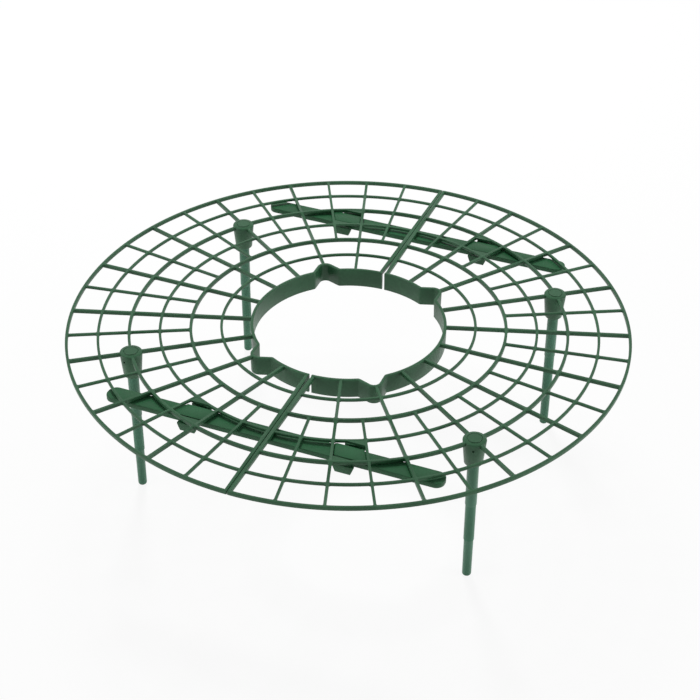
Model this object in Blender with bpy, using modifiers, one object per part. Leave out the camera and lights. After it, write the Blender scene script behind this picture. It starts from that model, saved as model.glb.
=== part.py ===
"""Strawberry plant support: a round two-part grid on four plug-in legs, tied by two clip-on bars."""

import math

import bmesh
import bpy

# Whole object, in metres. The leg tips stand on z = 0 and the seam of the grid runs along Y
GRID_TOP = 0.0895
GRID_RADIUS = 0.150
SEAT_GAP = 0.0003
ARC_STEP = math.radians(4.5)
EMBED = 0.0004

# Bars of the grid: heavy rings and full spokes, light rings and half spokes
HEAVY_WIDTH = 0.0015
HEAVY_DEPTH = 0.0021
LIGHT_WIDTH = 0.0014
LIGHT_DEPTH = 0.0014
LIGHT_DROP = 0.0001
SECOND_RING_INSET = 0.0172
RING_SPACES_TO_COLLAR = 4.94
SPOKE_STEPS = 40

# Collar round the plant opening, with its four outward notches
COLLAR_RADIUS = 0.0524
COLLAR_WALL = 0.0017
COLLAR_DEPTH = 0.011
COLLAR_RISE = 0.0001
NOTCH_SPOKES = (4, 16)
NOTCH_APEX = 0.0592
NOTCH_HALF_ANGLE = math.radians(35)
NOTCH_ROUND = 0.0025
NOTCH_MOUTH_ROUND = 0.0014

# Seam bars: side by side from the rim to the sixth ring, then parting towards the collar
SEAM_HALF_GAP_AT_COLLAR = 0.00095
SEAM_SIDE_AT_COLLAR = 0.0026
COLLAR_PAST_SEAM_BAR = 0.0002

# Leg sockets under the third ring
SOCKET_SPOKES = (6, 14)
SOCKET_TOP_RADIUS = 0.0060
SOCKET_FOOT_RADIUS = 0.00465
SOCKET_HEIGHT = 0.0148
SOCKET_RISE = 0.0003
SOCKET_EDGE_ROUND = 0.0008
SOCKET_ROOF = 0.0027
DISC_RADIUS = 0.0035
DISC_RISE = 0.0002
VENT_RADIUS = 0.0006
VENT_BELOW_TOP = 0.0040
VENT_ANGLE = math.radians(-77)

# Legs, from the plug in the socket down to the spigot on the ground
LEG_RADIUS = 0.00295
SHANK_RADIUS = 0.00272
SPIGOT_RADIUS = 0.00245
TIP_RADIUS = 0.0013
SHANK_TOP = 0.048
SPIGOT_TOP = 0.0245
LEG_CHAMFER = 0.0005
TIP_HEIGHT = 0.0014
LEG_STEPS = 20

# Joining bars under the grid, with their pads and finger tabs
BAR_LENGTH = 0.181
BAR_WIDTH = 0.0098
BAR_DEPTH = 0.0029
BAR_END_ROUND = 0.0044
BAR_END_STEPS = 5
BAR_EDGE_ROUND = 0.0003
PAD_SPOKES = (2, 3)
PAD_RISE = 0.0012
PAD_MARGIN = 0.0004
PAD_BEVEL = 0.0003
TAB_INNER = 0.00725
TAB_WALL = 0.00195
TAB_TOP_LENGTH = 0.0110
TAB_FOOT_LENGTH = 0.0080
TAB_DEPTH = 0.0045
TAB_CHAMFER_HEIGHT = 0.0022
BRIDGE_LENGTH = 0.0070
BRIDGE_DEPTH = 0.0015
BRIDGE_DROP = 0.0002

# Gussets of the grid beside each pad, with straight edges along the bar
GUSSET_FROM_BAR = 0.00155
GUSSET_DROP = 0.00015
GUSSET_DEPTH = 0.00125

# Drawing and colours
CORNER_STEP = math.radians(24)
BEVEL_FROM_ANGLE = math.radians(50)
FLAT_WITHIN = math.radians(0.1)
WELD = 1e-6
SAME_ANGLE = 1e-9
GRID_GREEN = (0.035, 0.125, 0.062)
LEG_GREEN = (0.032, 0.115, 0.058)
BAR_GREEN = (0.036, 0.120, 0.064)
GRID_ROUGHNESS = 0.42
LEG_ROUGHNESS = 0.38
BAR_ROUGHNESS = 0.45

# Worked out from the sizes above
RIM_CENTRE = GRID_RADIUS - HEAVY_WIDTH / 2
SECOND_RING_RADIUS = GRID_RADIUS - SECOND_RING_INSET
RING_PITCH = (SECOND_RING_RADIUS - COLLAR_RADIUS) / RING_SPACES_TO_COLLAR
SOCKET_RING = SECOND_RING_RADIUS - RING_PITCH
PAD_INNER_RING = SOCKET_RING - RING_PITCH
SPOKE_END_RING = SECOND_RING_RADIUS - 3 * RING_PITCH
HEAVY_RINGS = (RIM_CENTRE, SOCKET_RING, SPOKE_END_RING)
LIGHT_RINGS = tuple(SECOND_RING_RADIUS - step * RING_PITCH for step in (0, 2, 4))
SEAM_OPENS = LIGHT_RINGS[-1]
SEAM_HALF_GAP = SEAT_GAP / 2
SEAM_SIDE_AT_RIM = SEAM_HALF_GAP + HEAVY_WIDTH
COLLAR_MIDDLE = COLLAR_RADIUS - COLLAR_WALL / 2
COLLAR_END = SEAM_HALF_GAP_AT_COLLAR - COLLAR_PAST_SEAM_BAR
HEAVY_FOOT = GRID_TOP - HEAVY_DEPTH
SOCKET_SHOULDER = GRID_TOP + SOCKET_RISE
SOCKET_FOOT = SOCKET_SHOULDER - SOCKET_HEIGHT
BORE_RADIUS = LEG_RADIUS + SEAT_GAP
BORE_TOP = SOCKET_SHOULDER - SOCKET_ROOF
LEG_TOP = BORE_TOP - SEAT_GAP
BAR_TOP = HEAVY_FOOT - SEAT_GAP
BAR_FOOT = BAR_TOP - BAR_DEPTH
PAD_RADIUS = SOCKET_RING - RING_PITCH / 2
PAD_WIDTH = BAR_WIDTH - 2 * PAD_MARGIN
TAB_TOP = BAR_TOP - SEAT_GAP
GUSSET_TOP = GRID_TOP - GUSSET_DROP


def clear_scene():
    for obj in list(bpy.data.objects):
        bpy.data.objects.remove(obj)


def new_collection(name):
    collection = bpy.data.collections.new(name)
    bpy.context.scene.collection.children.link(collection)
    return collection


def new_material(name, colour, roughness):
    material = bpy.data.materials.new(name)
    material.use_nodes = True
    shader = material.node_tree.nodes["Principled BSDF"]
    shader.inputs["Base Color"].default_value = (*colour, 1)
    shader.inputs["Roughness"].default_value = roughness
    shader.inputs["Metallic"].default_value = 0
    material.diffuse_color = (*colour, 1)
    return material


def spoke_angle(step):
    """Polar angle of a spoke, counted clockwise from the back end of the seam."""
    return math.pi / 2 - step * 2 * math.pi / SPOKE_STEPS


def at(radius, angle):
    return radius * math.cos(angle), radius * math.sin(angle)


def arc(radius, start, end):
    """Points on a circle about the centre from one polar angle to another, both included."""
    steps = max(1, round(abs(end - start) / ARC_STEP))
    return [at(radius, start + (end - start) * step / steps) for step in range(steps + 1)]


def seam_edge(radius):
    """Distance of a half's seam edge from the seam plane: it leans away inside the sixth ring."""
    share = max(0, (SEAM_OPENS - radius) / (SEAM_OPENS - COLLAR_RADIUS))
    return SEAM_HALF_GAP + share * (SEAM_HALF_GAP_AT_COLLAR - SEAM_HALF_GAP)


def seam_side(radius):
    """Distance of the seam bar's other side from the seam plane: the bar widens towards the collar."""
    share = (GRID_RADIUS - radius) / (GRID_RADIUS - COLLAR_RADIUS)
    return SEAM_SIDE_AT_RIM + share * (SEAM_SIDE_AT_COLLAR - SEAM_SIDE_AT_RIM)


def seam_angle(radius, share):
    """Polar angle, from the seam plane, of the point this share of the way across the seam bar."""
    across = seam_edge(radius) + share * (seam_side(radius) - seam_edge(radius))
    return math.asin(across / radius)


def side_angle(step, radius, way):
    """Polar angle of a full spoke's side at this radius; way is -1 clockwise, 1 the other way."""
    if step == 0:
        return math.pi / 2 - seam_angle(radius, 1)
    if step == SPOKE_STEPS // 2:
        return -math.pi / 2 + seam_angle(radius, 1)
    return spoke_angle(step) + way * math.asin(HEAVY_WIDTH / 2 / radius)


def fillet(before, corner, after, radius):
    """Points of an arc that rounds the corner of two straight runs."""
    ways = []
    for other in (before, after):
        length = math.dist(corner, other)
        ways.append(((other[0] - corner[0]) / length, (other[1] - corner[1]) / length))
    half = math.acos(max(-1, min(1, ways[0][0] * ways[1][0] + ways[0][1] * ways[1][1]))) / 2
    middle = (ways[0][0] + ways[1][0], ways[0][1] + ways[1][1])
    size = math.hypot(*middle)
    reach = radius / math.sin(half)
    centre = (corner[0] + middle[0] / size * reach, corner[1] + middle[1] / size * reach)
    touch = radius / math.tan(half)
    start = (corner[0] + ways[0][0] * touch, corner[1] + ways[0][1] * touch)
    first = math.atan2(start[1] - centre[1], start[0] - centre[0])
    turn = math.pi - 2 * half
    cross = ways[0][0] * ways[1][1] - ways[0][1] * ways[1][0]
    sweep = -turn if cross > 0 else turn
    steps = max(2, round(turn / CORNER_STEP))
    return [
        (
            centre[0] + radius * math.cos(first + sweep * step / steps),
            centre[1] + radius * math.sin(first + sweep * step / steps),
        )
        for step in range(steps + 1)
    ]


def notch_path(angle, middle):
    """Middle line of the collar wall through one notch, clockwise, with its three rounded corners."""
    offset = middle - COLLAR_MIDDLE
    apex_round = NOTCH_ROUND + offset
    apex = NOTCH_APEX - COLLAR_WALL / 2 + offset
    sharp = apex + apex_round * (1 / math.sin(NOTCH_HALF_ANGLE) - 1)
    slope = math.tan(NOTCH_HALF_ANGLE)
    # A flank meets the collar's circle where (sharp - u) squared times slope squared plus u squared
    # is the circle's radius squared
    a = 1 + slope**2
    b = -2 * sharp * slope**2
    c = sharp**2 * slope**2 - middle**2
    along = (-b + math.sqrt(b * b - 4 * a * c)) / (2 * a)
    mouth = (sharp - along) * slope
    beside = math.atan2(mouth, along)
    beyond = at(middle, beside + ARC_STEP)
    corners = [beyond, (along, mouth), (sharp, 0), (along, -mouth), (beyond[0], -beyond[1])]
    radii = (NOTCH_MOUTH_ROUND - offset, apex_round, NOTCH_MOUTH_ROUND - offset)
    points = []
    for index, radius in enumerate(radii):
        points += fillet(*corners[index : index + 3], radius)
    cosine = math.cos(angle)
    sine = math.sin(angle)
    return [(x * cosine - y * sine, x * sine + y * cosine) for x, y in points], beside


def collar_path(middle, inset):
    """Line that follows the collar clockwise from the back of the seam to the front, notches included."""
    end_angle = math.acos(inset / middle)
    points = []
    start = end_angle
    for spoke in NOTCH_SPOKES:
        angle = spoke_angle(spoke)
        notch, beside = notch_path(angle, middle)
        points += arc(middle, start, angle + beside + ARC_STEP)
        points += notch
        start = angle - beside - ARC_STEP
    points += arc(middle, start, -end_angle)
    return points


def polar_angle(point):
    return math.atan2(point[1], point[0])


def between(path, start, end):
    """The part of a clockwise path from one polar angle down to another."""
    inside = []
    for first, second in zip(path, path[1:]):
        high = polar_angle(first)
        low = polar_angle(second)
        for bound in (start, end):
            if low < bound <= high and high - low > SAME_ANGLE:
                share = (high - bound) / (high - low)
                x = first[0] + share * (second[0] - first[0])
                y = first[1] + share * (second[1] - first[1])
                inside.append((x, y))
        if end < low < start:
            inside.append(second)
    return sorted(inside, key=polar_angle, reverse=True)


def plate_loop():
    """Outline of the right half before its cells are cut, ending inside the collar wall."""
    at_rim = math.pi / 2 - seam_angle(GRID_RADIUS, 0)
    opens = math.pi / 2 - seam_angle(SEAM_OPENS, 0)
    rim = arc(GRID_RADIUS, at_rim, -at_rim)
    inner_line = COLLAR_MIDDLE - COLLAR_WALL / 2 + EMBED
    collar = collar_path(inner_line, SEAM_HALF_GAP_AT_COLLAR)[::-1]
    return rim + [at(SEAM_OPENS, -opens)] + collar + [at(SEAM_OPENS, opens)]


def cell_loops():
    """Outlines of the cells between the heavy bars of the right half, seen from above."""
    outer_line = COLLAR_MIDDLE + COLLAR_WALL / 2 - EMBED
    collar = collar_path(outer_line, SEAM_HALF_GAP_AT_COLLAR)
    loops = []
    for step in range(0, SPOKE_STEPS // 2, 2):
        for outer_ring, inner_ring in zip(HEAVY_RINGS, HEAVY_RINGS[1:]):
            outer = outer_ring - HEAVY_WIDTH / 2
            inner = inner_ring + HEAVY_WIDTH / 2
            far_side = arc(outer, side_angle(step, outer, -1), side_angle(step + 2, outer, 1))
            near_side = arc(inner, side_angle(step + 2, inner, 1), side_angle(step, inner, -1))
            loops.append(far_side + near_side)
        outer = SPOKE_END_RING - HEAVY_WIDTH / 2
        far_side = arc(outer, side_angle(step, outer, -1), side_angle(step + 2, outer, 1))
        ends = (step, step + 2)
        reach = [NOTCH_APEX if number in NOTCH_SPOKES else COLLAR_RADIUS for number in ends]
        start = side_angle(step, reach[0], -1)
        end = side_angle(step + 2, reach[1], 1)
        loops.append(far_side + between(collar, start, end)[::-1])
    return loops


def ring_loop(radius):
    """Outline of one light ring of the right half, ending inside the seam bars."""
    outer = radius + LIGHT_WIDTH / 2
    inner = radius - LIGHT_WIDTH / 2
    far_end = math.pi / 2 - seam_angle(outer, 0.5)
    near_end = math.pi / 2 - seam_angle(inner, 0.5)
    return arc(outer, far_end, -far_end) + arc(inner, -near_end, near_end)


def half_spoke_loop(step):
    """Outline of one half spoke, ending inside the rim and inside the innermost heavy ring."""
    angle = spoke_angle(step)
    across = (-math.sin(angle) * LIGHT_WIDTH / 2, math.cos(angle) * LIGHT_WIDTH / 2)
    near = at(SPOKE_END_RING, angle)
    far = at(RIM_CENTRE, angle)
    return [
        (near[0] + across[0], near[1] + across[1]),
        (far[0] + across[0], far[1] + across[1]),
        (far[0] - across[0], far[1] - across[1]),
        (near[0] - across[0], near[1] - across[1]),
    ]


def gusset_loops():
    """Triangles that fill two corners of each pad's cell, up to straight edges beside the bar."""
    loops = []
    away = BAR_WIDTH / 2 + GUSSET_FROM_BAR
    corners = ((SOCKET_RING, PAD_SPOKES[0], away), (PAD_INNER_RING, PAD_SPOKES[1], -away))
    for ring, step, offset in corners:
        angle = spoke_angle(step)
        y = bar_middle() + offset
        corner = at(ring, angle)
        on_spoke = (y / math.tan(angle), y)
        on_ring = (math.sqrt(ring**2 - y**2), y)
        for front in (-1, 1):
            loops.append([(x, front * along) for x, along in (corner, on_spoke, on_ring)])
    return loops


def collar_loop():
    """Outline of the collar wall of the right half, with square ends at the seam."""
    outside = collar_path(COLLAR_MIDDLE + COLLAR_WALL / 2, COLLAR_END)
    inside = collar_path(COLLAR_MIDDLE - COLLAR_WALL / 2, COLLAR_END)
    return outside + inside[::-1]


def flat_solid(name, loops, side, foot, top, collection):
    """A mesh with these outlines seen from above, between two heights; side -1 mirrors it across the seam."""
    curve = bpy.data.curves.new(name, "CURVE")
    curve.dimensions = "2D"
    curve.fill_mode = "BOTH"
    curve.extrude = (top - foot) / 2
    for loop in loops:
        spline = curve.splines.new("POLY")
        spline.points.add(len(loop) - 1)
        for point, (x, y) in zip(spline.points, loop):
            point.co = (side * x, y, 0, 1)
        spline.use_cyclic_u = True
    drawn = bpy.data.objects.new(name + "_outline", curve)
    drawn.location = (0, 0, (top + foot) / 2)
    collection.objects.link(drawn)
    bpy.context.view_layer.update()
    graph = bpy.context.evaluated_depsgraph_get()
    mesh = bpy.data.meshes.new_from_object(drawn.evaluated_get(graph))
    welded = bmesh.new()
    welded.from_mesh(mesh)
    bmesh.ops.remove_doubles(welded, verts=welded.verts, dist=WELD)
    bmesh.ops.dissolve_limit(
        welded, angle_limit=FLAT_WITHIN, verts=welded.verts, edges=welded.edges
    )
    bmesh.ops.recalc_face_normals(welded, faces=welded.faces)
    welded.to_mesh(mesh)
    welded.free()
    solid = bpy.data.objects.new(name, mesh)
    solid.matrix_world = drawn.matrix_world
    collection.objects.link(solid)
    bpy.data.objects.remove(drawn)
    return solid


def turned(name, profile, steps, collection):
    """A body turned about Z from a profile of (radius, height) points that runs down its outer side."""
    mesh = bpy.data.meshes.new(name)
    edges = [(index, index + 1) for index in range(len(profile) - 1)]
    mesh.from_pydata([(radius, 0, height) for radius, height in profile], edges, [])
    obj = bpy.data.objects.new(name, mesh)
    collection.objects.link(obj)
    screw = obj.modifiers.new("Turn", "SCREW")
    screw.steps = steps
    screw.render_steps = steps
    screw.use_merge_vertices = True
    screw.merge_threshold = WELD
    screw.use_smooth_shade = True
    return obj


def as_helper(obj, helpers):
    for collection in list(obj.users_collection):
        collection.objects.unlink(obj)
    helpers.objects.link(obj)
    obj.hide_render = True
    obj.display_type = "WIRE"
    return obj


def combine(obj, other, operation):
    modifier = obj.modifiers.new(other.name, "BOOLEAN")
    modifier.operation = operation
    modifier.solver = "EXACT"
    modifier.object = other


def dress(obj, colour, roughness):
    material = new_material(obj.name, colour, roughness)
    obj.data.materials.clear()
    obj.data.materials.append(material)


def socket(name, step, side, helpers):
    """Leg socket: a tapered boss, closed above by a low disc, with a blind bore from below."""
    round_step = SOCKET_EDGE_ROUND * (1 - math.cos(math.radians(45)))
    profile = [
        (0, SOCKET_SHOULDER + DISC_RISE),
        (DISC_RADIUS, SOCKET_SHOULDER + DISC_RISE),
        (DISC_RADIUS + DISC_RISE, SOCKET_SHOULDER),
        (SOCKET_TOP_RADIUS - SOCKET_EDGE_ROUND, SOCKET_SHOULDER),
        (SOCKET_TOP_RADIUS - round_step, SOCKET_SHOULDER - round_step),
        (SOCKET_TOP_RADIUS, SOCKET_SHOULDER - SOCKET_EDGE_ROUND),
        (SOCKET_FOOT_RADIUS, SOCKET_FOOT),
        (BORE_RADIUS, SOCKET_FOOT),
        (BORE_RADIUS, BORE_TOP),
        (0, BORE_TOP),
    ]
    boss = turned(name, profile, LEG_STEPS, helpers)
    x, y = at(SOCKET_RING, spoke_angle(step))
    boss.location = (side * x, y, 0)
    return as_helper(boss, helpers)


def vent(name, step, side, helpers):
    """Cutter of the small hole through a socket's wall."""
    reach = SOCKET_TOP_RADIUS + VENT_RADIUS
    turn = VENT_ANGLE if step == SOCKET_SPOKES[1] else -VENT_ANGLE
    bpy.ops.mesh.primitive_cylinder_add(vertices=10, radius=VENT_RADIUS, depth=reach)
    cutter = bpy.context.object
    cutter.name = name
    x, y = at(SOCKET_RING, spoke_angle(step))
    along = at(reach / 2, turn)
    cutter.location = (side * (x + along[0]), y + along[1], SOCKET_SHOULDER - VENT_BELOW_TOP)
    cutter.rotation_euler = (0, math.pi / 2, turn if side > 0 else math.pi - turn)
    return as_helper(cutter, helpers)


def grid_half(name, side, parts, helpers):
    """One moulded half of the grid: bars, collar and two leg sockets."""
    half = flat_solid(name, [plate_loop()], side, HEAVY_FOOT, GRID_TOP, parts)
    below = HEAVY_FOOT - EMBED
    above = GRID_TOP + EMBED
    cells = flat_solid(name + "_cells", cell_loops(), side, below, above, helpers)
    combine(half, as_helper(cells, helpers), "DIFFERENCE")
    light_top = GRID_TOP - LIGHT_DROP
    rings = [ring_loop(radius) for radius in LIGHT_RINGS]
    light = flat_solid(name + "_rings", rings, side, light_top - LIGHT_DEPTH, light_top, helpers)
    combine(half, as_helper(light, helpers), "UNION")
    spoke_top = GRID_TOP - LIGHT_DROP / 2
    spokes = [half_spoke_loop(step) for step in range(1, SPOKE_STEPS // 2, 2)]
    short = flat_solid(name + "_spokes", spokes, side, spoke_top - LIGHT_DEPTH, spoke_top, helpers)
    combine(half, as_helper(short, helpers), "UNION")
    gusset_foot = GUSSET_TOP - GUSSET_DEPTH
    gussets = flat_solid(name + "_gussets", gusset_loops(), side, gusset_foot, GUSSET_TOP, helpers)
    combine(half, as_helper(gussets, helpers), "UNION")
    top = GRID_TOP + COLLAR_RISE
    foot = top - COLLAR_DEPTH
    collar = flat_solid(name + "_collar", [collar_loop()], side, foot, top, helpers)
    combine(half, as_helper(collar, helpers), "UNION")
    for step in SOCKET_SPOKES:
        combine(half, socket(f"{name}_socket_{step}", step, side, helpers), "UNION")
        combine(half, vent(f"{name}_vent_{step}", step, side, helpers), "DIFFERENCE")
    dress(half, GRID_GREEN, GRID_ROUGHNESS)
    return half


def leg(name, step, side, parts):
    """Plug-in leg: plug and upper run, a slightly thinner shank, and a spigot with a rounded tip."""
    x, y = at(SOCKET_RING, spoke_angle(step))
    profile = [
        (0, LEG_TOP),
        (LEG_RADIUS - LEG_CHAMFER, LEG_TOP),
        (LEG_RADIUS, LEG_TOP - LEG_CHAMFER),
        (LEG_RADIUS, SHANK_TOP),
        (SHANK_RADIUS, SHANK_TOP - LEG_CHAMFER),
        (SHANK_RADIUS, SPIGOT_TOP),
        (SPIGOT_RADIUS, SPIGOT_TOP - LEG_CHAMFER / 2),
        (SPIGOT_RADIUS, TIP_HEIGHT),
        ((SPIGOT_RADIUS + TIP_RADIUS) / 2 + LEG_CHAMFER / 2, TIP_HEIGHT / 3),
        (TIP_RADIUS, 0),
        (0, 0),
    ]
    body = turned(name, profile, LEG_STEPS, parts)
    body.location = (side * x, y, 0)
    dress(body, LEG_GREEN, LEG_ROUGHNESS)
    return body


def bar_outline():
    """Straight bar with rounded ends, seen from above, about its own middle."""
    long = BAR_LENGTH / 2 - BAR_END_ROUND
    wide = BAR_WIDTH / 2 - BAR_END_ROUND
    centres = ((long, wide), (-long, wide), (-long, -wide), (long, -wide))
    points = []
    for quarter, (x, y) in enumerate(centres):
        for step in range(BAR_END_STEPS + 1):
            along = at(BAR_END_ROUND, math.pi / 2 * (quarter + step / BAR_END_STEPS))
            points.append((x + along[0], y + along[1]))
    return points


def on_spoke_side(radius, angle, clear):
    """Point at this radius on a line beside a spoke, this far towards +X from the spoke's middle line."""
    lean = math.asin(clear / radius)
    return at(radius, angle - lean)


def pad_outline(side, front):
    """Pad that fills the cell between two spokes over the bar; a ring that crosses a corner cuts it off."""
    middle = bar_middle()
    inner_ring = PAD_INNER_RING + LIGHT_WIDTH / 2 + SEAT_GAP
    outer_ring = SOCKET_RING - HEAVY_WIDTH / 2 - SEAT_GAP
    low = middle - PAD_WIDTH / 2
    high = middle + PAD_WIDTH / 2
    first = (spoke_angle(PAD_SPOKES[0]), HEAVY_WIDTH / 2 + SEAT_GAP)
    last = (spoke_angle(PAD_SPOKES[1]), -LIGHT_WIDTH / 2 - SEAT_GAP)
    near_first, near_last, far_last, far_first = (
        (y / math.tan(angle) + clear / math.sin(angle), y)
        for y, (angle, clear) in ((low, first), (low, last), (high, last), (high, first))
    )
    near = [near_first]
    if math.hypot(*near_first) < inner_ring:
        near = [on_spoke_side(inner_ring, *first), (math.sqrt(inner_ring**2 - low**2), low)]
    far = [far_last]
    if math.hypot(*far_last) > outer_ring:
        far = [on_spoke_side(outer_ring, *last), (math.sqrt(outer_ring**2 - high**2), high)]
    points = near + [near_last] + far + [far_first]
    return [(side * x, front * (y - middle)) for x, y in points]


def bar_middle():
    """Distance of the bar's middle line from the centre: the middle of the cells that the pads fill."""
    pad_angle = (spoke_angle(PAD_SPOKES[0]) + spoke_angle(PAD_SPOKES[1])) / 2
    return PAD_RADIUS * math.sin(pad_angle)


def pad_centre():
    pad_angle = (spoke_angle(PAD_SPOKES[0]) + spoke_angle(PAD_SPOKES[1])) / 2
    return PAD_RADIUS * math.cos(pad_angle)


def add_bevel(obj, width, segments):
    bevel = obj.modifiers.new("Round", "BEVEL")
    bevel.width = width
    bevel.segments = segments
    bevel.limit_method = "ANGLE"
    bevel.angle_limit = BEVEL_FROM_ANGLE


def finger_tab(name, x, y, helpers):
    """Upright tab beside the bar, long edge up and its lower corners cut off."""
    half_top = TAB_TOP_LENGTH / 2
    half_foot = TAB_FOOT_LENGTH / 2
    cut = TAB_CHAMFER_HEIGHT
    outline = [
        (-half_top, 0),
        (half_top, 0),
        (half_top, cut - TAB_DEPTH),
        (half_foot, -TAB_DEPTH),
        (-half_foot, -TAB_DEPTH),
        (-half_top, cut - TAB_DEPTH),
    ]
    tab = flat_solid(name, [outline], 1, -TAB_WALL / 2, TAB_WALL / 2, helpers)
    tab.rotation_euler = (math.pi / 2, 0, 0)
    tab.location = (x, y, TAB_TOP)
    return as_helper(tab, helpers)


def joining_bar(name, front, parts, helpers):
    """Bar across the seam; front is -1 for the bar at the front and 1 for the one at the back."""
    bar = flat_solid(name, [bar_outline()], 1, -BAR_DEPTH / 2, BAR_DEPTH / 2, parts)
    middle = front * bar_middle()
    bar.location = (0, middle, BAR_TOP - BAR_DEPTH / 2)
    add_bevel(bar, BAR_EDGE_ROUND, 2)
    bridge_foot = BAR_FOOT - BRIDGE_DROP
    for side in (-1, 1):
        label = f"{name}_{'right' if side > 0 else 'left'}"
        outline = pad_outline(side, front)
        pad_foot = BAR_FOOT + BAR_DEPTH / 2
        pad = flat_solid(label + "_pad", [outline], 1, pad_foot, BAR_TOP + PAD_RISE, helpers)
        pad.location.y = middle
        add_bevel(pad, PAD_BEVEL, 1)
        combine(bar, as_helper(pad, helpers), "UNION")
        x = side * pad_centre()
        bpy.ops.mesh.primitive_cube_add(size=1)
        bridge = bpy.context.object
        bridge.name = f"{label}_bridge"
        bridge.scale = (BRIDGE_LENGTH, 2 * TAB_INNER + TAB_WALL, BRIDGE_DEPTH)
        bridge.location = (x, middle, bridge_foot + BRIDGE_DEPTH / 2)
        combine(bar, as_helper(bridge, helpers), "UNION")
        for edge in (-1, 1):
            y = middle + edge * (TAB_INNER + TAB_WALL / 2)
            tab = finger_tab(f"{label}_tab_{'back' if edge > 0 else 'front'}", x, y, helpers)
            combine(bar, tab, "UNION")
    dress(bar, BAR_GREEN, BAR_ROUGHNESS)
    return bar


def main():
    clear_scene()
    parts = new_collection("strawberry_plant_support")
    helpers = new_collection("helpers")
    for side, word in ((1, "right"), (-1, "left")):
        grid_half(f"grid_half_{word}", side, parts, helpers)
        for step, place in zip(SOCKET_SPOKES, ("back", "front")):
            leg(f"leg_{place}_{word}", step, side, parts)
    for front, place in ((-1, "front"), (1, "back")):
        joining_bar(f"joining_bar_{place}", front, parts, helpers)


main()
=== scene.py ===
import math

import bmesh
import bpy
from mathutils import Matrix, Vector


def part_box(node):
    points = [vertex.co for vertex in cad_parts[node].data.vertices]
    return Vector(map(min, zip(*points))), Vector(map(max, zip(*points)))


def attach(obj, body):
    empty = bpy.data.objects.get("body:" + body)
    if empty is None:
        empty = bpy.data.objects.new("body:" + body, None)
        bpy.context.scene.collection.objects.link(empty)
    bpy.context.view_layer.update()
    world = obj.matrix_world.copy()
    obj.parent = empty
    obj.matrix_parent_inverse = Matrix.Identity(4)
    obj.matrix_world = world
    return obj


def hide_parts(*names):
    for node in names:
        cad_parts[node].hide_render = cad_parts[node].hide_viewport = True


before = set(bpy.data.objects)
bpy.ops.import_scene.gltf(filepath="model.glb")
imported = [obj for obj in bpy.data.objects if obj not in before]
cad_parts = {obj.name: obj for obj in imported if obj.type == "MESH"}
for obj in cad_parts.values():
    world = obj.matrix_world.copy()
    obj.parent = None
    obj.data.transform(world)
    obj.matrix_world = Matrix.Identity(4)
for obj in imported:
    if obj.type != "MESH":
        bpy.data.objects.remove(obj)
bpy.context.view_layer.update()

print("frame loaded")

# All sizes are in metres
mergeDistance = 1e-6
bevelAngle = math.radians(40)  # a slab's edges sharper than this are rounded


def addNode(tree, kind, settings=None, inputs=None):
    # An input is a plain value, or the socket that it is linked from
    node = tree.nodes.new(kind)
    for name, value in (settings or {}).items():
        setattr(node, name, value)
    for name, value in (inputs or {}).items():
        if isinstance(value, bpy.types.NodeSocket):
            tree.links.new(value, node.inputs[name])
        else:
            node.inputs[name].default_value = value
    return node


def linear(hexColour):
    # sRGB hex to the linear values that Blender works in
    parts = [int(hexColour[i:i + 2], 16) / 255 for i in (1, 3, 5)]
    return [p / 12.92 if p <= 0.04045 else ((p + 0.055) / 1.055) ** 2.4 for p in parts] + [1]


plasticLooks = {
    "grid": {"colour": "#245234", "pale": "#356344", "rough": (0.34, 0.46), "bump": 0.25},
    "bar": {"colour": "#1d5130", "pale": "#2a633f", "rough": (0.36, 0.50), "bump": 0.30},
    # painted light: the legs' plastic is set lighter than the grid's, standing in for the light the
    # legs catch from the white floor and the sides
    "leg": {"colour": "#366a4f", "pale": "#447a61", "rough": (0.32, 0.44), "bump": 0.20},
}
plasticPattern = {
    "flowSize": 0.022,
    "fleckSize": 0.0016,
    "fleckShare": 0.35,
    "fleckShift": -0.17,
    "tintFrom": 0.32,
    "tintTo": 0.78,
    "sheenFrom": 0.3,
    "sheenTo": 0.7,
    "sinkSize": 0.009,
    "sinkStrength": 0.3,
    "sinkDepth": 0.0004,
    "grainSize": 0.00045,  # the real grain is about 0.1 mm; it is drawn coarser so that it shows
    "grainDepth": 0.00006,
    "ior": 1.49,
    "specular": 0.34,
}


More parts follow.
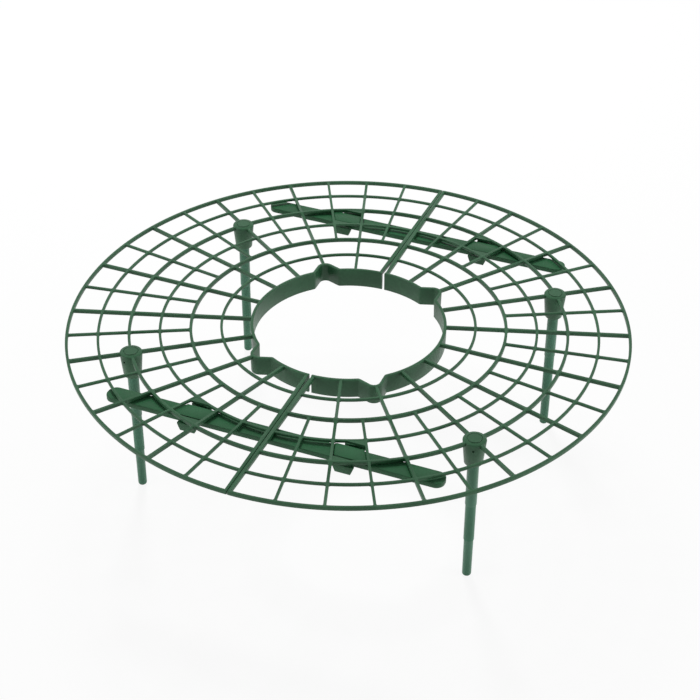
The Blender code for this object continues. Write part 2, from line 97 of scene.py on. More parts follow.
def mouldedPolypropylene(name, look):
    # Injection-moulded polypropylene from a spark-eroded mould: a soft sheen broken by a fine
    # grain, and broad faint clouds of lighter pigment where the melt flowed
    p = plasticPattern
    material = bpy.data.materials.new(name)
    material.use_nodes = True
    tree = material.node_tree
    tree.nodes.clear()
    place = addNode(tree, "ShaderNodeTexCoord").outputs["Object"]
    flow = addNode(tree, "ShaderNodeTexNoise", None, {
        "Vector": place, "Scale": 1 / p["flowSize"], "Detail": 3.0, "Roughness": 0.5})
    fleck = addNode(tree, "ShaderNodeTexNoise", None, {
        "Vector": place, "Scale": 1 / p["fleckSize"], "Detail": 2.0, "Roughness": 0.6})
    cloud = addNode(tree, "ShaderNodeMath", {"operation": "MULTIPLY_ADD"}, {
        0: fleck.outputs["Fac"], 1: p["fleckShare"], 2: p["fleckShift"]})
    total = addNode(tree, "ShaderNodeMath", {"operation": "ADD"}, {
        0: flow.outputs["Fac"], 1: cloud.outputs[0]})
    tint = addNode(tree, "ShaderNodeValToRGB", None, {"Fac": total.outputs[0]})
    ramp = tint.color_ramp.elements
    ramp[0].position = p["tintFrom"]
    ramp[0].color = linear(look["colour"])
    ramp[1].position = p["tintTo"]
    ramp[1].color = linear(look["pale"])
    sheen = addNode(tree, "ShaderNodeMapRange", None, {
        "Value": total.outputs[0], "From Min": p["sheenFrom"], "From Max": p["sheenTo"],
        "To Min": look["rough"][0], "To Max": look["rough"][1]})
    sink = addNode(tree, "ShaderNodeTexNoise", None, {
        "Vector": place, "Scale": 1 / p["sinkSize"], "Detail": 1.0})
    grain = addNode(tree, "ShaderNodeTexNoise", None, {
        "Vector": place, "Scale": 1 / p["grainSize"], "Detail": 2.0})
    wave = addNode(tree, "ShaderNodeBump", None, {
        "Strength": p["sinkStrength"], "Distance": p["sinkDepth"], "Height": sink.outputs["Fac"]})
    relief = addNode(tree, "ShaderNodeBump", None, {
        "Strength": look["bump"], "Distance": p["grainDepth"],
        "Height": grain.outputs["Fac"], "Normal": wave.outputs["Normal"]})
    shader = addNode(tree, "ShaderNodeBsdfPrincipled", None, {
        "Base Color": tint.outputs["Color"], "Roughness": sheen.outputs["Result"], "IOR": p["ior"],
        "Specular IOR Level": p["specular"], "Normal": relief.outputs["Normal"]})
    addNode(tree, "ShaderNodeOutputMaterial", None, {"Surface": shader.outputs["BSDF"]})
    return material


gridPlastic = mouldedPolypropylene("mouldedPolypropyleneGrid", plasticLooks["grid"])
barPlastic = mouldedPolypropylene("mouldedPolypropyleneBar", plasticLooks["bar"])
legPlastic = mouldedPolypropylene("mouldedPolypropyleneLeg", plasticLooks["leg"])
print("materials made")


def newTree(name, sizes):
    tree = bpy.data.node_groups.new(name, "GeometryNodeTree")
    tree.interface.new_socket("Geometry", in_out="OUTPUT", socket_type="NodeSocketGeometry")
    tree.interface.new_socket("Geometry", in_out="INPUT", socket_type="NodeSocketGeometry")
    for label, kind in sizes.items():
        tree.interface.new_socket(label, in_out="INPUT", socket_type="NodeSocket" + kind)
    return tree, tree.nodes.new("NodeGroupInput").outputs


def endTree(tree, geometry, material):
    real = addNode(tree, "GeometryNodeRealizeInstances", None, {"Geometry": geometry})
    painted = addNode(tree, "GeometryNodeSetMaterial", None, {
        "Geometry": real.outputs[0], "Material": material})
    addNode(tree, "NodeGroupOutput", None, {"Geometry": painted.outputs[0]})


def buildSweepTree():
    # Sweeps a rounded, tapered bar section along each path, with its top on the path.
    # The section's Y points down there, so what the node calls its bottom is the bar's top
    tree, given = newTree("barsAlongPaths", {
        "Width": "Float", "Depth": "Float", "Draft": "Float", "Edge Round": "Float",
        "Material": "Material"})
    path = addNode(tree, "GeometryNodeMeshToCurve", None, {"Mesh": given["Geometry"]})
    upright = addNode(tree, "GeometryNodeSetCurveNormal", {"mode": "Z_UP"}, {
        "Curve": path.outputs[0]})
    footWidth = addNode(tree, "ShaderNodeMath", {"operation": "SUBTRACT"}, {
        0: given["Width"], 1: given["Draft"]})
    section = addNode(tree, "GeometryNodeCurvePrimitiveQuadrilateral", {"mode": "TRAPEZOID"}, {
        "Height": given["Depth"], "Bottom Width": given["Width"],
        "Top Width": footWidth.outputs[0], "Offset": 0.0})
    softened = addNode(tree, "GeometryNodeFilletCurve", {"mode": "POLY"}, {
        "Curve": section.outputs[0], "Radius": given["Edge Round"], "Count": 2})
    lowering = addNode(tree, "ShaderNodeMath", {"operation": "MULTIPLY"}, {
        0: given["Depth"], 1: 0.5})
    shift = addNode(tree, "ShaderNodeCombineXYZ", None, {"Y": lowering.outputs[0]})
    hung = addNode(tree, "GeometryNodeTransform", None, {
        "Geometry": softened.outputs[0], "Translation": shift.outputs[0]})
    swept = addNode(tree, "GeometryNodeCurveToMesh", None, {
        "Curve": upright.outputs[0], "Profile Curve": hung.outputs[0], "Fill Caps": True})
    endTree(tree, swept.outputs[0], given["Material"])
    return tree


def buildWebTree():
    # Puts a small web at each crossing of two bars, turned by the point's own angle
    tree, given = newTree("websAtCrossings", {"Web": "Object", "Material": "Material"})
    shape = addNode(tree, "GeometryNodeObjectInfo", None, {
        "Object": given["Web"], "As Instance": True})
    turn = addNode(tree, "GeometryNodeInputNamedAttribute", {"data_type": "FLOAT"}, {
        "Name": "turn"})
    spin = addNode(tree, "ShaderNodeCombineXYZ", None, {"Z": turn.outputs[0]})
    webs = addNode(tree, "GeometryNodeInstanceOnPoints", None, {
        "Points": given["Geometry"], "Instance": shape.outputs["Geometry"],
        "Rotation": spin.outputs[0]})
    endTree(tree, webs.outputs[0], given["Material"])
    return tree


def link(obj):
    bpy.context.scene.collection.objects.link(obj)
    return obj


def fixed(obj):
    # The evaluated shape as a plain mesh at the origin; what it came from goes
    bpy.context.view_layer.update()
    graph = bpy.context.evaluated_depsgraph_get()
    mesh = bpy.data.meshes.new_from_object(obj.evaluated_get(graph), depsgraph=graph)
    mesh.transform(obj.matrix_world)
    name = obj.name
    bpy.data.objects.remove(obj)
    mesh.name = name
    return link(bpy.data.objects.new(name, mesh))


def throughTree(obj, tree, values):
    modifier = obj.modifiers.new("shape", "NODES")
    modifier.node_group = tree
    for item in tree.interface.items_tree:
        if item.in_out == "INPUT" and item.name in values:
            modifier[item.identifier] = values[item.name]
    return fixed(obj)


def pathObject(name, paths):
    mesh = bpy.data.meshes.new(name)
    points, edges = [], []
    for path in paths:
        edges += [(len(points) + i, len(points) + i + 1) for i in range(len(path) - 1)]
        points += [tuple(p) for p in path]
    mesh.from_pydata(points, edges, [])
    return link(bpy.data.objects.new(name, mesh))


def pointsWithTurn(name, places):
    mesh = bpy.data.meshes.new(name)
    mesh.from_pydata([place[:2] + (0,) for place in places], [], [])
    turn = mesh.attributes.new("turn", "FLOAT", "POINT")
    turn.data.foreach_set("value", [place[2] for place in places])
    return link(bpy.data.objects.new(name, mesh))


def joined(obj, others, operation="UNION"):
    for other in others:
        modifier = obj.modifiers.new(other.name, "BOOLEAN")
        modifier.operation = operation
        modifier.solver = "MANIFOLD"
        modifier.object = other
    result = fixed(obj)
    for other in others:
        bpy.data.objects.remove(other)
    return result


def finished(obj, material, sharpAngle):
    mesh = obj.data
    mesh.materials.clear()
    mesh.materials.append(material)
    work = bmesh.new()
    work.from_mesh(mesh)
    bmesh.ops.remove_doubles(work, verts=work.verts, dist=mergeDistance)
    bmesh.ops.dissolve_degenerate(work, edges=work.edges, dist=mergeDistance)
    # Triangles chosen here, so that both halves are split alike and no two share a diagonal
    bmesh.ops.triangulate(work, faces=work.faces[:], quad_method="BEAUTY", ngon_method="BEAUTY")
    work.to_mesh(mesh)
    work.free()
    mesh.polygons.foreach_set("use_smooth", [True] * len(mesh.polygons))
    mesh.set_sharp_from_angle(angle=sharpAngle)
    return obj


def mirrored(obj, name, axis):
    mesh = obj.data.copy()
    mesh.name = name
    mesh.transform(Matrix.Scale(-1, 4, axis))
    mesh.flip_normals()
    return link(bpy.data.objects.new(name, mesh))


def turnedPiece(name, profile, steps):
    # A profile of (radius, height) that runs down the outer side, turned about Z
    mesh = bpy.data.meshes.new(name)
    edges = [(i, i + 1) for i in range(len(profile) - 1)]
    mesh.from_pydata([(r, 0, z) for r, z in profile], edges, [])
    obj = link(bpy.data.objects.new(name, mesh))
    screw = obj.modifiers.new("turn", "SCREW")
    screw.steps = steps
    screw.render_steps = steps
    screw.use_merge_vertices = True
    screw.merge_threshold = mergeDistance
    return fixed(obj)


def raisedMesh(name, outline, low, rise):
    work = bmesh.new()
    face = work.faces.new([work.verts.new((x, y, low)) for x, y in outline])
    raised = bmesh.ops.extrude_face_region(work, geom=[face])["geom"]
    upper = [part for part in raised if isinstance(part, bmesh.types.BMVert)]
    bmesh.ops.translate(work, verts=upper, vec=(0, 0, rise))
    bmesh.ops.recalc_face_normals(work, faces=work.faces)
    mesh = bpy.data.meshes.new(name)
    work.to_mesh(mesh)
    work.free()
    return mesh


def slab(name, outline, low, high, edge, segments=3):
    # A closed outline raised between two heights, its edges rounded by a bevel where edge is given
    obj = link(bpy.data.objects.new(name, raisedMesh(name, outline, low, high - low)))
    if edge:
        bevel = obj.modifiers.new("round", "BEVEL")
        bevel.width = edge
        bevel.segments = segments
        bevel.limit_method = "ANGLE"
        bevel.angle_limit = bevelAngle
    return obj


def at(radius, angle, height=0.0):
    return (radius * math.cos(angle), radius * math.sin(angle), height)


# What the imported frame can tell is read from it. The bars stand here because the grid's gussets
# follow them
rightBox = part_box("grid_half_right")
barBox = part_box("joining_bar_front")
gridSizes = {
    "rimRadius": rightBox[1].x,
    "gridTop": 0.0895,
    "heavyWidth": 0.0015,
    "heavyDepth": 0.0021,
    "lightWidth": 0.0014,
    "lightDepth": 0.0014,
    "lightDrop": 0.0001,
    "edgeRound": 0.00016,
    "draft": 0.00008,  # the foot of a bar is this much narrower than its top
    "secondRing": 0.1328,
    "ringPitch": 0.016275,
    "lightRings": (2, 4, 6),
    "socketRing": 3,
    "halfSpokeRing": 5,  # the half spokes run from the rim to this ring
    "partingRing": 6,  # from this ring inwards the halves part
    "spokeCount": 40,
    "spokeDrop": 0.00001,  # this and the rise keep crossing tops out of one plane
    "halfSpokeRise": 0.00003,
    "seamGap": 0.00015,  # from the seam plane to each half
    "seamGapAtCollar": 0.00095,
    "seamSideAtRim": 0.00165,
    "seamSideAtCollar": 0.0026,
    "seamBarShort": 0.00005,  # the seam bars end this far inside the rim
    "seamBarInset": 0.00002,  # and lie this far inside the heavy bars' top and foot
    "gussetFromBar": 0.00155,
    "gussetTop": 0.00017,  # top and foot of a gusset, below the top of the grid
    "gussetFoot": 0.0014,
    "webRound": 0.0007,  # fillet where two bars cross
    "webSteps": 4,
    "webShallower": 0.0001,
    "heavyWebDrop": 0.00005,
    "lightWebDrop": 0.00016,
    "teeWebDrop": 0.00012,
    "arcStep": math.radians(1.5),
    "cornerStep": math.radians(10),
    "sharpAngle": math.radians(32),
}
collarSizes = {
    "radius": 0.0524,
    "wall": 0.0017,
    "depth": 0.0110,
    "draft": 0.0004,
    "rise": 0.0001,
    "endAtSeam": 0.00075,
    "edgeRound": 0.00035,
    "notchSpokes": (4, 16),
    "notchApex": 0.0592,
    "notchHalfAngle": math.radians(35),
    "notchRound": 0.0040,
    "mouthRound": 0.0016,
    "mouthLead": math.radians(4.5),  # the plain arc stops this far before a notch
}
socketSizes = {
    "spokes": (6, 14),
    "topRadius": 0.0060,
    "footRadius": 0.00465,
    "shoulder": 0.0898,
    "height": 0.0148,
    "edgeRound": 0.0009,
    "edgeStart": math.radians(12),
    "edgeTurn": math.radians(78),
    "edgeSteps": 5,
    "discRadius": 0.0035,
    "discRise": 0.0002,
    "discChamfer": 0.0001,
    "groove": 0.0002,
    "grooveFloor": 0.00035,  # outer ends of the groove's floor and side, beyond the disc
    "grooveSide": 0.0005,
    "slope": 0.00015,  # fall of the shoulder from the groove to the rounded edge
    "footChamfer": 0.0003,
    "footLip": 0.0001,
    "boreRadius": 0.00325,
    "boreTop": 0.0871,
    "ventRadius": 0.0006,
    "ventBelowTop": 0.0040,
    "ventAngle": math.radians(-77),
    "ventBeyond": 0.001,  # the cutter reaches this far out of the socket
    "ventSteps": 20,
    "steps": 48,
}
barSizes = {
    "length": barBox[1].x - barBox[0].x,
    "width": 0.0098,
    "depth": 0.0029,
    "top": 0.0871,
    "middle": -(barBox[0].y + barBox[1].y) / 2,
    "endRound": 0.0044,
    "endSteps": 8,
    "edgeRound": 0.00035,
    "padSpokes": (2, 3),
    "padRise": 0.0012,
    "padWidth": 0.0091,
    "padRound": 0.0003,
    "clearance": 0.0003,
    "tabInner": 0.00725,
    "tabWall": 0.00195,
    "tabTopLength": 0.0108,
    "tabFootLength": 0.0080,
    "tabDepth": 0.0045,
    "tabCut": 0.0036,
    "tabRound": 0.00015,
    "bridgeLength": 0.0070,
    "bridgeDepth": 0.0015,
    "bridgeDrop": 0.0002,
    "bridgeRound": 0.0003,
    "sharpAngle": math.radians(35),
}


def arc(radius, start, end, height):
    steps = max(2, round(abs(end - start) / gridSizes["arcStep"]))
    return [at(radius, start + (end - start) * i / steps, height) for i in range(steps + 1)]


def spokeAngle(number):
    # Spokes are counted clockwise from the back end of the seam
    return math.pi / 2 - number * 2 * math.pi / gridSizes["spokeCount"]


def ringRadius(number):
    # Rings are counted inwards, and the rim is the first
    return gridSizes["secondRing"] - (number - 2) * gridSizes["ringPitch"]


def seamEdge(radius):
    # The halves lie side by side down to the sixth ring and part from there to the collar
    g = gridSizes
    opens = ringRadius(g["partingRing"])
    share = max(0, (opens - radius) / (opens - collarSizes["radius"]))
    return g["seamGap"] + share * (g["seamGapAtCollar"] - g["seamGap"])


def seamSide(radius):
    g = gridSizes
    share = (g["rimRadius"] - radius) / (g["rimRadius"] - collarSizes["radius"])
    return g["seamSideAtRim"] + share * (g["seamSideAtCollar"] - g["seamSideAtRim"])


def roundCorner(before, corner, after, radius):
    a = (Vector(before) - Vector(corner)).normalized()
    b = (Vector(after) - Vector(corner)).normalized()
    half = a.angle(b) / 2
    centre = Vector(corner) + (a + b).normalized() * radius / math.sin(half)
    start = Vector(corner) + a * radius / math.tan(half) - centre
    turn = math.pi - 2 * half
    sign = -1 if a.x * b.y - a.y * b.x > 0 else 1
    steps = max(3, round(turn / gridSizes["cornerStep"]))
    points = []
    for i in range(steps + 1):
        t = sign * turn * i / steps
        x = start.x * math.cos(t) - start.y * math.sin(t)
        y = start.x * math.sin(t) + start.y * math.cos(t)
        points.append((centre.x + x, centre.y + y))
    return points


def collarPath():
    # Middle line of the collar wall, clockwise from the back of the seam to the front
    s = collarSizes
    middle = s["radius"] - s["wall"] / 2
    height = gridSizes["gridTop"] + s["rise"]
    half = s["notchHalfAngle"]
    apex = s["notchApex"] - s["wall"] / 2
    sharp = apex + s["notchRound"] * (1 / math.sin(half) - 1)
    slope = math.tan(half)
    # A flank meets the circle where (sharp - along) * slope is the distance from the spoke's line
    a, b, c = 1 + slope ** 2, -2 * sharp * slope ** 2, (sharp * slope) ** 2 - middle ** 2
    along = (-b + math.sqrt(b * b - 4 * a * c)) / (2 * a)
    mouth = (sharp - along) * slope
    beside = math.atan2(mouth, along)
    lead = s["mouthLead"]
    beyond = at(middle, beside + lead)
    corners = [beyond[:2], (along, mouth), (sharp, 0), (along, -mouth), (beyond[0], -beyond[1])]
    radii = (s["mouthRound"], s["notchRound"], s["mouthRound"])
    end = math.acos(s["endAtSeam"] / middle)
    points, start = [], end
    for number in s["notchSpokes"]:
        angle = spokeAngle(number)
        points += arc(middle, start, angle + beside + lead, height)
        for i, radius in enumerate(radii):
            for x, y in roundCorner(*corners[i:i + 3], radius):
                points.append((x * math.cos(angle) - y * math.sin(angle),
                               x * math.sin(angle) + y * math.cos(angle), height))
        start = angle - beside - lead
    return points + arc(middle, start, -end, height)


def webShape(name, spokeWidth, ringWidth, depth, drop, tee):
    # Plan of a crossing with its inner corners rounded. X runs along the spoke, and a tee has
    # rounded corners on the +X side alone
    radius, steps = gridSizes["webRound"], gridSizes["webSteps"]
    x, y = ringWidth / 2 + radius, spokeWidth / 2 + radius
    outline = []
    for quarter, (sx, sy) in enumerate(((1, 1), (-1, 1), (-1, -1), (1, -1))):
        if tee and sx < 0:
            outline.append((0, sy * y))
            continue
        for i in range(steps + 1) if quarter in (0, 2) else range(steps, -1, -1):
            t = math.pi / 2 * i / steps
            outline.append((sx * (x - radius * math.sin(t)), sy * (y - radius * math.cos(t))))
    mesh = raisedMesh(name, outline, gridSizes["gridTop"] - drop - depth, depth)
    return link(bpy.data.objects.new(name, mesh))


def socketPiece(name, number):
    s = socketSizes
    top, foot = s["shoulder"], s["shoulder"] - s["height"]
    disc, discTop, lip = s["discRadius"], top + s["discRise"], s["footLip"]
    # Flat disc, a fine groove round it, and a shoulder that slopes to a rounded edge
    profile = [(0, discTop), (disc - s["discChamfer"], discTop),
               (disc, discTop - s["discChamfer"]), (disc + s["discChamfer"], top - s["groove"]),
               (disc + s["grooveFloor"], top - s["groove"]), (disc + s["grooveSide"], top)]
    for i in range(s["edgeSteps"] + 1):
        t = s["edgeStart"] + s["edgeTurn"] * i / s["edgeSteps"]
        profile.append((s["topRadius"] - s["edgeRound"] * (1 - math.sin(t)),
                        top - s["slope"] - s["edgeRound"] * (1 - math.cos(t))))
    profile += [(s["footRadius"] + lip, foot + s["footChamfer"]), (s["footRadius"] - lip, foot),
                (s["boreRadius"] + s["footChamfer"], foot),
                (s["boreRadius"], foot + s["footChamfer"]),
                (s["boreRadius"], s["boreTop"]), (0, s["boreTop"])]
    boss = turnedPiece(name, profile, s["steps"])
    place = at(ringRadius(gridSizes["socketRing"]), spokeAngle(number))
    boss.data.transform(Matrix.Translation(place))
    return boss


def ventCutter(name, number):
    # The vent of the back socket is turned the other way, as if mirrored from front to back
    s = socketSizes
    turn = s["ventAngle"] if number == s["spokes"][1] else -s["ventAngle"]
    reach = s["topRadius"] + s["ventBeyond"]
    bpy.ops.mesh.primitive_cylinder_add(
        vertices=s["ventSteps"], radius=s["ventRadius"], depth=reach)
    cutter = bpy.context.object
    cutter.name = name
    x, y = at(ringRadius(gridSizes["socketRing"]), spokeAngle(number))[:2]
    dx, dy = at(reach / 2, turn)[:2]
    place = Matrix.Translation((x + dx, y + dy, s["shoulder"] - s["ventBelowTop"]))
    cutter.matrix_world = (place @ Matrix.Rotation(turn, 4, "Z")
                           @ Matrix.Rotation(math.pi / 2, 4, "Y"))
    return fixed(cutter)


def seamBar(name, way):
    # Tapered bar beside the seam; way is 1 at the back and -1 at the front
    g = gridSizes
    inner = collarSizes["radius"] - collarSizes["wall"] / 2
    outer = g["rimRadius"] - g["seamBarShort"]
    opens = ringRadius(g["partingRing"])
    run = [(seamEdge(r), way * math.sqrt(r * r - seamEdge(r) ** 2)) for r in (inner, opens, outer)]
    run += [(seamSide(r), way * math.sqrt(r * r - seamSide(r) ** 2)) for r in (outer, inner)]
    low, high = g["gridTop"] - g["heavyDepth"] + g["seamBarInset"], g["gridTop"] - g["seamBarInset"]
    return slab(name, run, low, high, g["edgeRound"], segments=2)


def gussets():
    # Two corners of each pad's cell are filled up to straight edges along the bar
    g, b = gridSizes, barSizes
    away = b["width"] / 2 + g["gussetFromBar"]
    low, high = g["gridTop"] - g["gussetFoot"], g["gridTop"] - g["gussetTop"]
    ring = ringRadius(g["socketRing"])
    corners = ((ring, b["padSpokes"][0], away), (ring - g["ringPitch"], b["padSpokes"][1], -away))
    pieces = []
    for radius, number, offset in corners:
        angle = spokeAngle(number)
        y = b["middle"] + offset
        points = [at(radius, angle)[:2], (y / math.tan(angle), y),
                  (math.sqrt(radius ** 2 - y ** 2), y)]
        for way in (1, -1):
            outline = [(px, way * py) for px, py in points]
            pieces.append(slab(f"gusset{number}{way}", outline, low, high, 0))
    return pieces


def gridHalf():
    g, c = gridSizes, collarSizes
    top = g["gridTop"]
    lightTop = top - g["lightDrop"]
    rim = g["rimRadius"] - g["heavyWidth"] / 2
    socketRing = ringRadius(g["socketRing"])
    spokeEnd = ringRadius(g["halfSpokeRing"])
    lightRings = [ringRadius(n) for n in g["lightRings"]]
    spokesInHalf = g["spokeCount"] // 2
    sweep = buildSweepTree()
    heavy = {"Width": g["heavyWidth"], "Depth": g["heavyDepth"], "Draft": g["draft"],
             "Edge Round": g["edgeRound"], "Material": gridPlastic}
    light = dict(heavy, Width=g["lightWidth"], Depth=g["lightDepth"])
    wall = dict(heavy, Width=c["wall"], Depth=c["depth"], Draft=c["draft"])
    wall["Edge Round"] = c["edgeRound"]

    def ringPath(radius, height):
        end = math.pi / 2 - math.asin((seamEdge(radius) + seamSide(radius)) / 2 / radius)
        return arc(radius, end, -end, height)

    def spokePath(number, inner, height):
        angle = spokeAngle(number)
        return [at(inner, angle, height), at(rim, angle, height)]

    def bars(name, paths, values):
        return throughTree(pathObject(name, paths), sweep, values)

    heavyRings = [ringPath(r, top) for r in (rim, socketRing, spokeEnd)]
    fullSpokes = []
    for number in range(2, spokesInHalf, 2):
        reach = c["notchApex"] if number in c["notchSpokes"] else c["radius"]
        fullSpokes.append(spokePath(number, reach - c["wall"] / 2, top - g["spokeDrop"]))
    thinRings = [ringPath(r, lightTop) for r in lightRings]
    halfSpokes = [spokePath(n, spokeEnd, lightTop + g["halfSpokeRise"])
                  for n in range(1, spokesInHalf, 2)]
    rings = bars("heavyRings", heavyRings, heavy)
    others = [bars("fullSpokes", fullSpokes, heavy), bars("lightRings", thinRings, light),
              bars("halfSpokes", halfSpokes, light), bars("collarWall", [collarPath()], wall)]

    heavyPlaces, lightPlaces, teePlaces = [], [], []
    for number in range(1, spokesInHalf):
        angle = spokeAngle(number)
        odd = number % 2 == 1
        teePlaces.append(at(rim, angle)[:2] + (angle + math.pi,))
        (lightPlaces if odd else heavyPlaces).append(at(socketRing, angle)[:2] + (angle,))
        (teePlaces if odd else heavyPlaces).append(at(spokeEnd, angle)[:2] + (angle,))
        lightPlaces += [at(r, angle)[:2] + (angle,) for r in lightRings if r > spokeEnd or not odd]
    webs = buildWebTree()
    for name, spokeBars, ringBars, tee, places in (
            ("heavyWeb", "heavy", "heavy", False, heavyPlaces),
            ("lightWeb", "light", "light", False, lightPlaces),
            ("teeWeb", "light", "heavy", True, teePlaces)):
        shape = webShape(name, g[spokeBars + "Width"], g[ringBars + "Width"],
                         g[spokeBars + "Depth"] - g["webShallower"], g[name + "Drop"], tee)
        values = {"Web": shape, "Material": gridPlastic}
        others.append(throughTree(pointsWithTurn(name + "s", places), webs, values))
        bpy.data.objects.remove(shape)

    others += [fixed(seamBar(f"seamBar{way}", way)) for way in (1, -1)] + gussets()
    others += [socketPiece(f"socket{n}", n) for n in socketSizes["spokes"]]
    half = joined(rings, others)
    half = joined(half, [ventCutter(f"vent{n}", n) for n in socketSizes["spokes"]], "DIFFERENCE")
    half.name = "gridRight"
    return finished(half, gridPlastic, g["sharpAngle"])


gridRight = gridHalf()
gridLeft = mirrored(gridRight, "gridLeft", (1, 0, 0))
for piece, body, node in ((gridRight, "half_right", "grid_half_right"),
                          (gridLeft, "half_left", "grid_half_left")):
    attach(piece, body)
    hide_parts(node)
print("grid halves made", len(gridRight.data.polygons))


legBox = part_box("leg_front_right")
legSizes = {
    "top": legBox[1].z,
    "radius": 0.00295,
    "shankRadius": 0.00272,
    "spigotRadius": 0.00245,
    "spigotTipRadius": 0.00238,
    "shankTop": 0.0480,
    "spigotTop": 0.0245,
    "chamfer": 0.0005,
    "shankLip": 0.0001,  # small roundings at the step from the plug to the shank
    "shankLipIn": 0.00006,
    "shankFoot": 0.00004,
    "spigotLip": 0.00012,  # and at the step from the shank to the spigot
    "spigotFoot": 0.00008,
    "spigotFootDrop": 0.00004,
    "spigotDrop": 0.0002,
    "tipFlat": 0.0013,
    "tipHeight": 0.0013,
    "tipSteps": 6,
    "steps": 48,
    "sharpAngle": math.radians(40),
}


def legPiece(name, x, y):
    s = legSizes
    top, shankTop, spigotTop = s["top"], s["shankTop"], s["spigotTop"]
    plug, shank, spigot = s["radius"], s["shankRadius"], s["spigotRadius"]
    profile = [(0, top), (plug - s["chamfer"], top), (plug, top - s["chamfer"]),
               (plug, shankTop + s["shankLip"]), (plug - s["shankLipIn"], shankTop),
               (shank + s["shankFoot"], shankTop - s["chamfer"] / 2),
               (shank, shankTop - s["chamfer"]),
               (shank, spigotTop + s["spigotLip"]), (shank - s["spigotLip"], spigotTop),
               (spigot + s["spigotFoot"], spigotTop - s["spigotFootDrop"]),
               (spigot, spigotTop - s["spigotDrop"])]
    tipRound = s["spigotTipRadius"] - s["tipFlat"]
    for i in range(s["tipSteps"] + 1):
        t = math.pi / 2 * i / s["tipSteps"]
        profile.append((s["tipFlat"] + tipRound * math.cos(t), s["tipHeight"] * (1 - math.sin(t))))
    profile.append((0, 0))
    leg = turnedPiece(name, profile, s["steps"])
    leg.data.transform(Matrix.Translation((x, y, 0)))
    return finished(leg, legPlastic, s["sharpAngle"])


for place in ("front_right", "front_left", "back_right", "back_left"):
    low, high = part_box("leg_" + place)
    name = "leg" + place.title().replace("_", "")
    leg = legPiece(name, (low.x + high.x) / 2, (low.y + high.y) / 2)
    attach(leg, "leg_" + place)
    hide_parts("leg_" + place)
print("legs made")


def padOutline():
    # The pad fills its cell over the bar, clear of the two spokes and two rings beside it
    s, g = barSizes, gridSizes
    socketRing = ringRadius(g["socketRing"])
    nearRing = socketRing - g["ringPitch"] + g["lightWidth"] / 2 + s["clearance"]
    farRing = socketRing - g["heavyWidth"] / 2 - s["clearance"]
    near, far = s["middle"] - s["padWidth"] / 2, s["middle"] + s["padWidth"] / 2
    first, last = (spokeAngle(n) for n in s["padSpokes"])
    fromFirst = g["heavyWidth"] / 2 + s["clearance"]
    fromLast = -g["lightWidth"] / 2 - s["clearance"]
    return [(math.sqrt(nearRing ** 2 - near ** 2), near),
            (near / math.tan(last) + fromLast / math.sin(last), near),
            at(farRing, last - math.asin(fromLast / farRing))[:2],
            (math.sqrt(farRing ** 2 - far ** 2), far),
            (far / math.tan(first) + fromFirst / math.sin(first), far),
            at(nearRing, first - math.asin(fromFirst / nearRing))[:2]]


def joiningBar(name):
    s = barSizes
    middle, high = s["middle"], s["top"]
    low = high - s["depth"]
    long, wide = s["length"] / 2 - s["endRound"], s["width"] / 2 - s["endRound"]
    outline = []
    for quarter, (x, y) in enumerate(((long, wide), (-long, wide), (-long, -wide), (long, -wide))):
        for i in range(s["endSteps"] + 1):
            t = math.pi / 2 * (quarter + i / s["endSteps"])
            outline.append((x + s["endRound"] * math.cos(t),
                            middle + y + s["endRound"] * math.sin(t)))
    bar = fixed(slab(name, outline, low, high, s["edgeRound"]))

    padAngle = (spokeAngle(s["padSpokes"][0]) + spokeAngle(s["padSpokes"][1])) / 2
    padCentre = ringRadius(gridSizes["socketRing"] + 0.5) * math.cos(padAngle)
    reach = s["tabInner"] + s["tabWall"] / 2
    half, bridgeFoot = s["bridgeLength"] / 2, low - s["bridgeDrop"]
    a, b, cut, foot = s["tabTopLength"] / 2, s["tabFootLength"] / 2, s["tabCut"], -s["tabDepth"]
    tabShape = [(-a, 0), (a, 0), (a, cut + foot), (b, foot), (-b, foot), (-a, cut + foot)]
    extras = []
    for side in (-1, 1):
        x = side * padCentre
        points = [(side * px, py) for px, py in padOutline()]
        pad = slab(f"pad{side}", points, low + s["depth"] / 2, high + s["padRise"], s["padRound"])
        bridgeShape = [(x - half, middle - reach), (x + half, middle - reach),
                       (x + half, middle + reach), (x - half, middle + reach)]
        bridge = slab(f"bridge{side}", bridgeShape, bridgeFoot, bridgeFoot + s["bridgeDepth"],
                      s["bridgeRound"])
        extras += [fixed(pad), fixed(bridge)]
        for edge in (-1, 1):
            tab = slab(f"tab{side}{edge}", tabShape, -s["tabWall"] / 2, s["tabWall"] / 2,
                       s["tabRound"])
            place = Matrix.Translation((x, middle + edge * reach, high - s["clearance"]))
            tab.matrix_world = place @ Matrix.Rotation(math.pi / 2, 4, "X")
            extras.append(fixed(tab))
    return finished(joined(bar, extras), barPlastic, s["sharpAngle"])


barBack = joiningBar("barBack")
barFront = mirrored(barBack, "barFront", (0, 1, 0))
for piece, place in ((barBack, "back"), (barFront, "front")):
    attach(piece, "bar_" + place)
    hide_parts("joining_bar_" + place)
print("joining bars made")


stageLook = {
    "floorSize": 6.0,
    "paper": "#ffffff",
    "paperForBounce": "#f4f4f4",
    "shadowShare": 0.10,  # how much of the floor's look is shaded paper, the rest plain white
}


def seenRays(tree):
    # 1 where the camera, a reflection or a refraction looks, 0 for light on its way to the object
    path = addNode(tree, "ShaderNodeLightPath")
    pair = addNode(tree, "ShaderNodeMath", {"operation": "MAXIMUM"}, {
        0: path.outputs["Is Camera Ray"], 1: path.outputs["Is Glossy Ray"]})
    return addNode(tree, "ShaderNodeMath", {"operation": "MAXIMUM"}, {
        0: pair.outputs[0], 1: path.outputs["Is Transmission Ray"]})


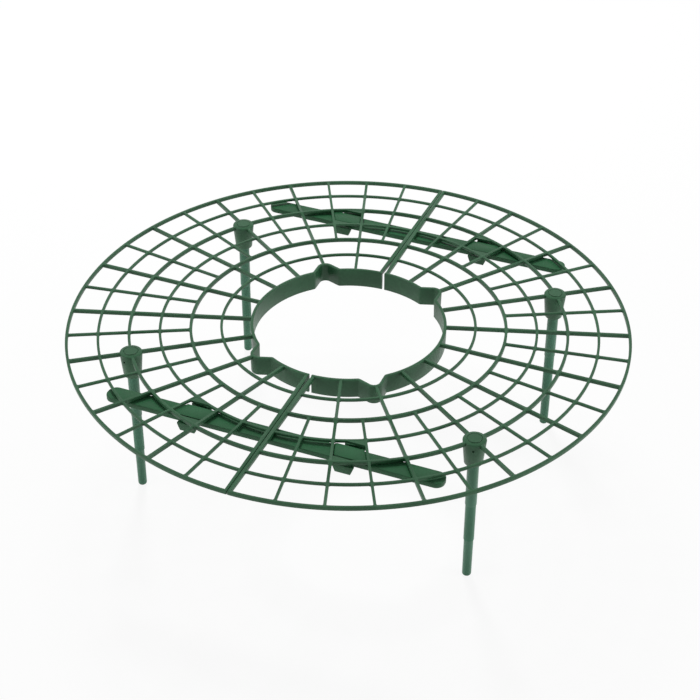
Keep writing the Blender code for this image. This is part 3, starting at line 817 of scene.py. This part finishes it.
def paperFloor():
    # White seamless paper: a matt sheet that the camera sees as clean white, with a light shadow
    half = stageLook["floorSize"] / 2
    corners = [(-half, -half, 0), (half, -half, 0), (half, half, 0), (-half, half, 0)]
    mesh = bpy.data.meshes.new("floor")
    mesh.from_pydata(corners, [], [(0, 1, 2, 3)])
    floor = link(bpy.data.objects.new("floor", mesh))
    material = bpy.data.materials.new("whiteSeamlessPaper")
    material.use_nodes = True
    tree = material.node_tree
    tree.nodes.clear()
    seen = seenRays(tree)
    # 6 and 7 are the two colours of a Mix node
    tone = addNode(tree, "ShaderNodeMix", {"data_type": "RGBA"}, {
        "Factor": seen.outputs[0], 6: linear(stageLook["paperForBounce"]),
        7: linear(stageLook["paper"])})
    matt = addNode(tree, "ShaderNodeBsdfDiffuse", None, {"Color": tone.outputs[2]})
    glow = addNode(tree, "ShaderNodeEmission", None, {
        "Color": linear(stageLook["paper"]), "Strength": 1.0})
    share = addNode(tree, "ShaderNodeMath", {"operation": "MULTIPLY"}, {
        0: seen.outputs[0], 1: 1 - stageLook["shadowShare"]})
    mix = addNode(tree, "ShaderNodeMixShader", None, {
        0: share.outputs[0], 1: matt.outputs[0], 2: glow.outputs[0]})
    addNode(tree, "ShaderNodeOutputMaterial", None, {"Surface": mix.outputs[0]})
    floor.data.materials.append(material)


lightSetup = {
    "worldForLight": 0.18,
    "worldSeen": 1.0,
    "above": {"place": (-0.45, 0.75, 1.05), "size": 0.30, "power": 12.5},
    "left": {"place": (-1.05, -0.80, 0.16), "size": 0.8, "power": 8.0},
    "right": {"place": (1.15, 0.10, 0.20), "size": 0.8, "power": 7.0},
}


def softLight():
    world = bpy.data.worlds.new("studio")
    bpy.context.scene.world = world
    world.use_nodes = True
    tree = world.node_tree
    tree.nodes.clear()
    seen = seenRays(tree)
    level = addNode(tree, "ShaderNodeMapRange", None, {
        "Value": seen.outputs[0], "To Min": lightSetup["worldForLight"],
        "To Max": lightSetup["worldSeen"]})
    sky = addNode(tree, "ShaderNodeBackground", None, {
        "Color": (1, 1, 1, 1), "Strength": level.outputs["Result"]})
    addNode(tree, "ShaderNodeOutputWorld", None, {"Surface": sky.outputs[0]})
    for name in ("above", "left", "right"):
        values = lightSetup[name]
        lamp = bpy.data.lights.new(name, "AREA")
        lamp.shape = "DISK"
        lamp.size = values["size"]
        lamp.energy = values["power"]
        obj = link(bpy.data.objects.new(name, lamp))
        obj.location = values["place"]
        obj.visible_glossy = name != "above"  # its mirror image would grey the tops of the bars
        obj.rotation_euler = (-Vector(values["place"])).to_track_quat("-Z", "Y").to_euler()


cameraSetup = {
    "focalPixels": 1651.5,
    "imagePixels": 700,
    "sensorWidth": 36,  # millimetres
    "clip": (0.01, 20),
    "azimuth": math.radians(22.059),
    "elevation": math.radians(35.792),
    "roll": math.radians(0.285),
    "distance": 0.8607,
    "aim": (0.01051, -0.02366, gridSizes["gridTop"]),
}


def photoCamera():
    s = cameraSetup
    data = bpy.data.cameras.new("camera")
    data.sensor_width = s["sensorWidth"]
    data.lens = s["focalPixels"] / s["imagePixels"] * data.sensor_width
    data.clip_start, data.clip_end = s["clip"]
    camera = link(bpy.data.objects.new("camera", data))
    a, e = s["azimuth"], s["elevation"]
    back = Vector((math.sin(a) * math.cos(e), -math.cos(a) * math.cos(e), math.sin(e)))
    right = Vector((math.cos(a), math.sin(a), 0))
    up = back.cross(right)
    c, r = math.cos(s["roll"]), math.sin(s["roll"])
    axes = Matrix((right * c + up * r, up * c - right * r, back)).transposed()
    place = Matrix.Translation(Vector(s["aim"]) + back * s["distance"])
    camera.matrix_world = place @ axes.to_4x4()
    bpy.context.scene.camera = camera


paperFloor()
softLight()
photoCamera()
bpy.context.scene.view_settings.view_transform = "Standard"
print("stage, lights and camera set")
